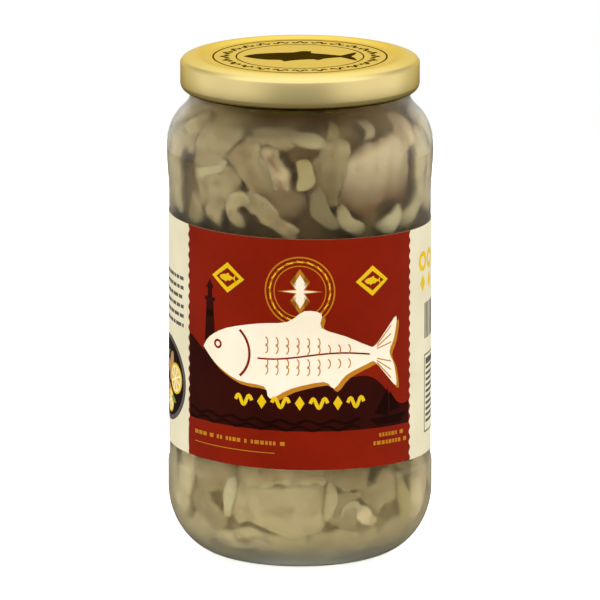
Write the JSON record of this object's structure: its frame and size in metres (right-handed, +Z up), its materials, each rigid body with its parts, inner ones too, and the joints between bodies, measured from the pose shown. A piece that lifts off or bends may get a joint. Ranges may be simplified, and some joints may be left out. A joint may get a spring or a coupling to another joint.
{
  "type": "jar of herring in wine sauce",
  "caption": "Closed clear glass jar with a gold twist-off cap and a wrap-round paper label, packed with sliced herring fillet and onion in wine sauce.",
  "frame": {"origin": "centre of the ring that the jar stands on", "axes": "+Z up along the jar's axis, the label's front faces -Y, +X to the viewer's right"},
  "size_m": [0.095, 0.095, 0.1802],
  "materials": {
    "glass": "clear flint glass, smooth",
    "gold_lacquer": "satin gold lacquer on tinplate",
    "label_paper": "coated paper, satin",
    "herring": "wet, smooth"
  },
  "bodies": {
    "root": {"jar_glass": "glass", "lid": "gold_lacquer", "label": "label_paper", "herring_heap": "herring"}
  },
  "joints": []
}
